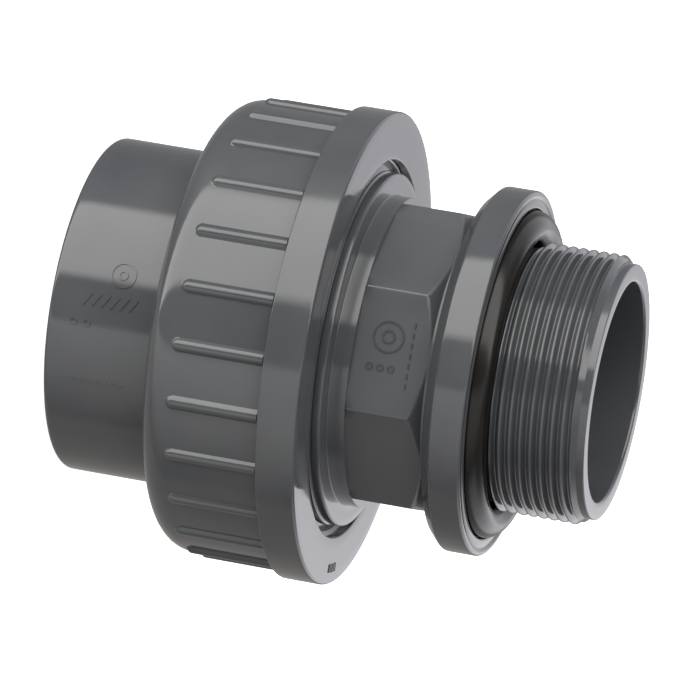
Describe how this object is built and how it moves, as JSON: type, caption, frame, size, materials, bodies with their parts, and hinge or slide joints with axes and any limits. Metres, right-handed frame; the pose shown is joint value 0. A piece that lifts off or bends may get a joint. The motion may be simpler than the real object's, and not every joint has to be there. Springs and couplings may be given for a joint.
{
  "type": "pipe union",
  "caption": "Straight plastic pipe union: ribbed union nut over a solvent socket, joined to a flanged octagonal bush with a male pipe thread and rubber seals.",
  "frame": {"origin": "centre of the solvent socket's mouth face, which the part stands on", "axes": "+Z along the pipe axis from the solvent socket towards the male thread; +X and +Y square to it, with an octagon flat facing about -Y"},
  "size_m": [0.1052, 0.1052, 0.1191],
  "materials": {
    "pvc_grey": "satin moulded, dark grey",
    "epdm_black": "black rubber with a soft sheen"
  },
  "bodies": {
    "socket_end": {"socket_end": "pvc_grey"},
    "union_nut": {"union_nut": "pvc_grey"},
    "bush": {"threaded_bush": "pvc_grey", "joint_o_ring": "epdm_black", "flange_o_ring": "epdm_black"}
  },
  "joints": [
    {"name": "nut_spin", "type": "hinge", "parent": "socket_end", "child": "union_nut", "pos_m": [0, 0, 0.045], "axis": [0, 0, -1], "range_deg": [0, 1800]},
    {"name": "bush_travel", "type": "slide", "parent": "socket_end", "child": "bush", "axis": [0, 0, 1], "range_m": [0, 0.0201]}
  ],
  "couplings": [
    {"joint": "bush_travel", "follows": "nut_spin", "m_per_rad": 0.00063662}
  ]
}
